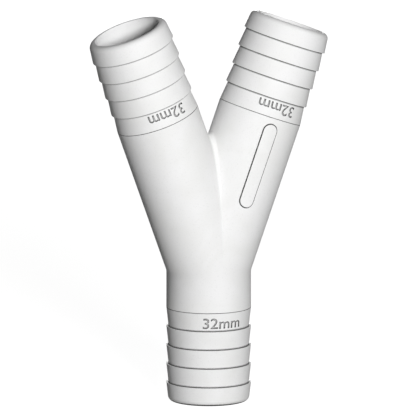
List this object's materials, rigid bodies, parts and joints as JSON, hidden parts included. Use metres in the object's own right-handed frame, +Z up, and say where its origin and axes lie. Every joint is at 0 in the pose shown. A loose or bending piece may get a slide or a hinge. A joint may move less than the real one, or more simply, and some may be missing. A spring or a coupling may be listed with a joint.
{
  "type": "barbed hose y connector",
  "caption": "One-piece moulded plastic Y connector for soft hose, a barbed tail on each leg and a straight bore in each.",
  "frame": {"origin": "centre of the stem's end face, on the stem's axis", "axes": "+Z up the stem from its mouth to the junction, the arms lean to -X and +X, the pad and marks face -Y"},
  "size_m": [0.0978, 0.0339, 0.1543],
  "materials": {
    "white_moulding": "satin, as moulded"
  },
  "bodies": {
    "root": {"connector_body": "white_moulding"}
  },
  "joints": []
}
